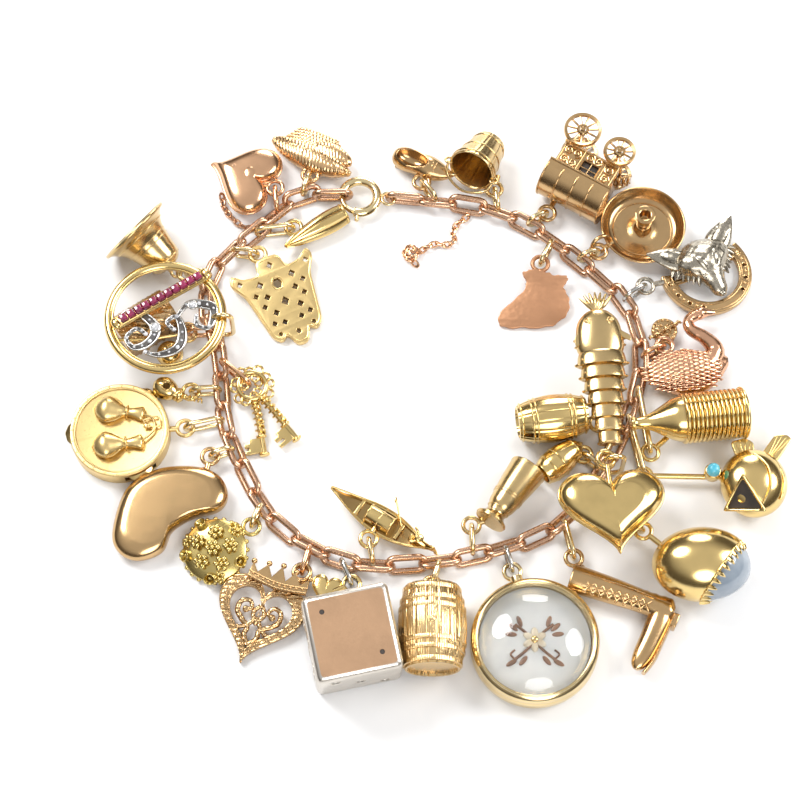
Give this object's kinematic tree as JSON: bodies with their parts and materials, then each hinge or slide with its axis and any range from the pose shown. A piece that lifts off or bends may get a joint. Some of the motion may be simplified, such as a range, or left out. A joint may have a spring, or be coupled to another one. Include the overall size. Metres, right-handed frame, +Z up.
{
  "type": "charm bracelet",
  "caption": "Gold charm bracelet lying open in a loop, fastened by a bolt ring and hung all round with small figurative charms.",
  "frame": {"origin": "on the table under the middle of the bracelet's box", "axes": "+X to the right of the pictured view along the longest side, +Y away from the viewer, +Z up from the table"},
  "size_m": [0.1028, 0.09, 0.013],
  "materials": {
    "rose_gold": "polished rose gold",
    "yellow_gold": "polished yellow gold",
    "satin_gold": "satin yellow gold",
    "dark_gold": "worn brownish gold",
    "copper_gold": "matte coppery gold",
    "white_gold": "white gold, darkened in its hollows",
    "ruby": "faceted ruby",
    "turquoise": "polished turquoise bead",
    "moonstone": "polished blue-grey cabochon",
    "crystal": "clear domed crystal"
  },
  "bodies": {
    "bracelet": {"chain": "rose_gold", "clasp_ring": "yellow_gold", "puffed_heart": "rose_gold", "winged_bird": "yellow_gold", "seed_pod": "yellow_gold", "bell": "rose_gold", "hand_plate": "satin_gold", "brooch": "yellow_gold", "ruby_row": "ruby", "casket": "dark_gold", "ball_charm": "yellow_gold", "gourd_bead": "yellow_gold", "tambourine": "satin_gold", "bean": "dark_gold", "key_1": "yellow_gold", "key_2": "yellow_gold", "flower_cluster": "yellow_gold", "tiara": "dark_gold", "filigree_heart": "rose_gold", "leaf_heart": "yellow_gold", "die": "rose_gold", "gondola": "yellow_gold", "barrel": "yellow_gold", "locket_case": "yellow_gold", "crystal": "crystal", "goblet": "dark_gold", "keg": "yellow_gold", "acorn_cup": "yellow_gold", "fish": "yellow_gold", "plain_heart": "yellow_gold", "riding_boot": "rose_gold", "ball_case": "yellow_gold", "moonstone": "moonstone", "round_fish": "rose_gold", "eye_bead": "turquoise", "ribbed_bottle": "yellow_gold", "swan": "rose_gold", "coin_leaf": "copper_gold", "fox_horseshoe": "white_gold", "chamberstick": "dark_gold", "caravan": "dark_gold", "map_plate": "copper_gold", "bucket": "rose_gold", "clog": "rose_gold", "safety_chain": "yellow_gold", "fine_chain": "rose_gold"},
    "clasp_bolt": {"clasp_bolt": "yellow_gold"},
    "jingle_1": {"jingle_1": "yellow_gold"},
    "jingle_2": {"jingle_2": "yellow_gold"},
    "jingle_3": {"jingle_3": "yellow_gold"},
    "wheel_1": {"wheel_1": "dark_gold"},
    "wheel_2": {"wheel_2": "dark_gold"},
    "wheel_3": {"wheel_3": "dark_gold"},
    "wheel_4": {"wheel_4": "dark_gold"}
  },
  "joints": [
    {"name": "bolt_slide", "type": "hinge", "parent": "bracelet", "child": "clasp_bolt", "pos_m": [-0.01002, 0.03245, 0.0015], "axis": [0, 0, 1], "range_deg": [0, 60]},
    {"name": "jingle_1_spin", "type": "hinge", "parent": "bracelet", "child": "jingle_1", "pos_m": [-0.04072, -0.00029, 0.0014], "axis": [0, 0, 1], "continuous": true},
    {"name": "jingle_2_spin", "type": "hinge", "parent": "bracelet", "child": "jingle_2", "pos_m": [-0.04967, -0.00525, 0.0014], "axis": [0, 0, 1], "continuous": true},
    {"name": "jingle_3_spin", "type": "hinge", "parent": "bracelet", "child": "jingle_3", "pos_m": [-0.04108, -0.01041, 0.0014], "axis": [0, 0, 1], "continuous": true},
    {"name": "wheel_1_spin", "type": "hinge", "parent": "bracelet", "child": "wheel_1", "pos_m": [0.02296, 0.0403, 0.00045], "axis": [0, 0, 1], "continuous": true},
    {"name": "wheel_2_spin", "type": "hinge", "parent": "bracelet", "child": "wheel_2", "pos_m": [0.02296, 0.0403, 0.00775], "axis": [0, 0, 1], "continuous": true},
    {"name": "wheel_3_spin", "type": "hinge", "parent": "bracelet", "child": "wheel_3", "pos_m": [0.02824, 0.03666, 0.00045], "axis": [0, 0, 1], "continuous": true},
    {"name": "wheel_4_spin", "type": "hinge", "parent": "bracelet", "child": "wheel_4", "pos_m": [0.02824, 0.03666, 0.00775], "axis": [0, 0, 1], "continuous": true}
  ]
}
